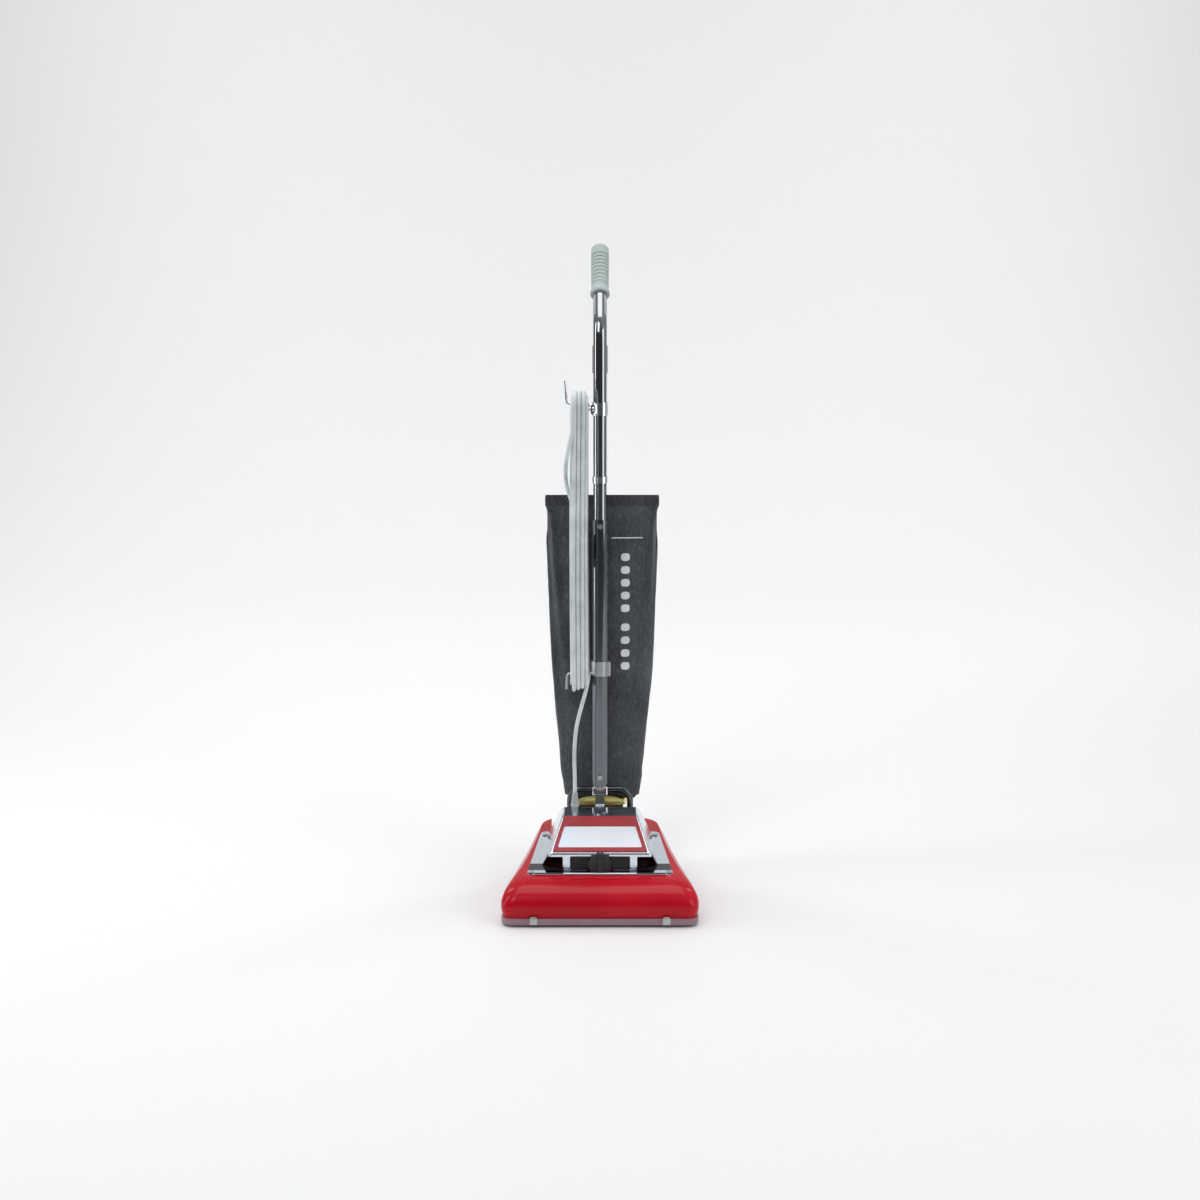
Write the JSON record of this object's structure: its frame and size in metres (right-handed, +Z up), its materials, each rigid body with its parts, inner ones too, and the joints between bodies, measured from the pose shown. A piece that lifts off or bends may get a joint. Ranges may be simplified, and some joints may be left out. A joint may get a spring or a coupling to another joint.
{
  "type": "upright vacuum cleaner",
  "caption": "Commercial upright vacuum cleaner with a wide nozzle, chromed hood, tubular handle, outer cloth dust bag and a power cord wound on hooks.",
  "frame": {"origin": "on the floor, in the middle of the machine's outline seen from above", "axes": "+Z up, front (nozzle) towards -Y, +X to the right when seen from the front"},
  "size_m": [0.356, 0.4096, 1.2149],
  "materials": {
    "red_housing": "gloss",
    "chrome_plate": "polished",
    "guard_rubber": "matte",
    "label_red": "gloss",
    "label_silver": "satin",
    "black_plastic": "satin",
    "plain_steel": "satin",
    "zinc_yellow": "satin",
    "motor_steel": "satin",
    "core_steel": "satin",
    "copper_bars": "satin",
    "carbon": "matte",
    "fan_plastic": "satin",
    "belt_rubber": "matte",
    "wheel_rubber": "matte",
    "brush_wood": "satin",
    "bristle": "matte",
    "grip_rubber": "matte",
    "bag_cloth": "matte",
    "cord_grey": "satin"
  },
  "bodies": {
    "head": {"base_housing": "red_housing", "bottom_plate": "plain_steel", "furniture_guard": "guard_rubber", "rear_housing": "red_housing", "hood": "chrome_plate", "label_frame": "label_red", "label_panel": "label_silver", "hood_grille": "black_plastic", "head_fasteners": "plain_steel", "rear_axle": "plain_steel", "axle_push_nuts": "plain_steel", "motor_can": "motor_steel", "field_stator": "core_steel", "motor_bearings": "plain_steel", "carbon_brushes": "carbon", "fan_chamber_cover": "plain_steel", "drive_belt": "belt_rubber", "brush_bearings": "black_plastic", "exhaust_duct": "black_plastic", "duct_collar": "zinc_yellow", "handle_strap": "chrome_plate", "pedal_pin": "plain_steel", "strain_relief": "cord_grey", "handle_pivot_pins": "plain_steel"},
    "handle": {"bail": "chrome_plate", "handle_socket": "chrome_plate", "lower_tube": "chrome_plate", "upper_tube": "chrome_plate", "grip": "grip_rubber", "tube_screws": "plain_steel", "switch_housing": "black_plastic", "upper_hook_bracket": "plain_steel", "cord_hook_lower": "plain_steel", "bag": "bag_cloth", "bag_neck": "bag_cloth", "bag_hanger": "plain_steel", "cord_lead": "cord_grey", "cord_winding": "cord_grey", "cord_tail": "cord_grey", "plug": "cord_grey"},
    "switch_rocker": {"switch_rocker": "black_plastic"},
    "cord_hook": {"cord_hook_upper": "plain_steel"},
    "height_knob": {"height_knob": "black_plastic", "height_cam": "black_plastic"},
    "wheel_carriage": {"wheel_carriage": "plain_steel"},
    "front_wheel_left": {"front_wheel_left": "wheel_rubber"},
    "front_wheel_right": {"front_wheel_right": "wheel_rubber"},
    "rear_wheel_left": {"rear_wheel_left": "wheel_rubber"},
    "rear_wheel_right": {"rear_wheel_right": "wheel_rubber"},
    "motor_rotor": {"motor_shaft": "plain_steel", "armature": "core_steel", "commutator": "copper_bars", "fan": "fan_plastic", "shaft_pulley": "plain_steel"},
    "brush_roll": {"brush_dowel": "brush_wood", "brush_bristles": "bristle", "brush_shaft": "plain_steel"},
    "release_pedal": {"release_pedal": "black_plastic"},
    "plate_latch_left": {"plate_latch_left": "chrome_plate"},
    "plate_latch_right": {"plate_latch_right": "chrome_plate"}
  },
  "joints": [
    {"name": "handle_tilt", "type": "hinge", "parent": "head", "child": "handle", "pos_m": [0, 0.07, 0.058], "axis": [-1, 0, 0], "range_deg": [0, 75], "deforming": ["bag_neck", "cord_lead"]},
    {"name": "switch_tip", "type": "hinge", "parent": "handle", "child": "switch_rocker", "pos_m": [0, 0.0947, 1], "axis": [-1, 0, 0], "range_deg": [0, 16]},
    {"name": "cord_hook_swivel", "type": "hinge", "parent": "handle", "child": "cord_hook", "pos_m": [-0.017, 0.052, 0.909], "axis": [1, 0, 0], "range_deg": [0, 180]},
    {"name": "height_knob_turn", "type": "hinge", "parent": "head", "child": "height_knob", "pos_m": [0, -0.11, 0.093], "axis": [0, -1, 0], "range_deg": [0, 270]},
    {"name": "carriage_drop", "type": "hinge", "parent": "head", "child": "wheel_carriage", "pos_m": [0, -0.03, 0.045], "axis": [1, 0, 0], "range_deg": [0, 7]},
    {"name": "front_wheel_left_roll", "type": "hinge", "parent": "wheel_carriage", "child": "front_wheel_left", "pos_m": [-0.086, -0.09, 0.02], "axis": [1, 0, 0], "continuous": true},
    {"name": "front_wheel_right_roll", "type": "hinge", "parent": "wheel_carriage", "child": "front_wheel_right", "pos_m": [0.086, -0.09, 0.02], "axis": [1, 0, 0], "continuous": true},
    {"name": "rear_wheel_left_roll", "type": "hinge", "parent": "head", "child": "rear_wheel_left", "pos_m": [-0.111, 0.103, 0.038], "axis": [1, 0, 0], "continuous": true},
    {"name": "rear_wheel_right_roll", "type": "hinge", "parent": "head", "child": "rear_wheel_right", "pos_m": [0.111, 0.103, 0.038], "axis": [1, 0, 0], "continuous": true},
    {"name": "rotor_spin", "type": "hinge", "parent": "head", "child": "motor_rotor", "pos_m": [0, -0.008, 0.08], "axis": [0, 0, 1], "continuous": true},
    {"name": "brush_spin", "type": "hinge", "parent": "head", "child": "brush_roll", "pos_m": [0, -0.158, 0.03], "axis": [1, 0, 0], "continuous": true},
    {"name": "pedal_press", "type": "hinge", "parent": "head", "child": "release_pedal", "pos_m": [-0.082, 0.097, 0.074], "axis": [-1, 0, 0], "range_deg": [0, 12], "stiffness_Nm_per_rad": 0.6, "springref_deg": -5.73},
    {"name": "latch_left_turn", "type": "hinge", "parent": "head", "child": "plate_latch_left", "pos_m": [-0.119, -0.202, 0.015], "axis": [0, 1, 0], "range_deg": [0, 90]},
    {"name": "latch_right_turn", "type": "hinge", "parent": "head", "child": "plate_latch_right", "pos_m": [0.119, -0.202, 0.015], "axis": [0, -1, 0], "range_deg": [0, 90]}
  ],
  "couplings": [
    {"joint": "carriage_drop", "follows": "height_knob_turn", "ratio": 0.02593},
    {"joint": "brush_spin", "follows": "rotor_spin", "ratio": 0.5224}
  ]
}
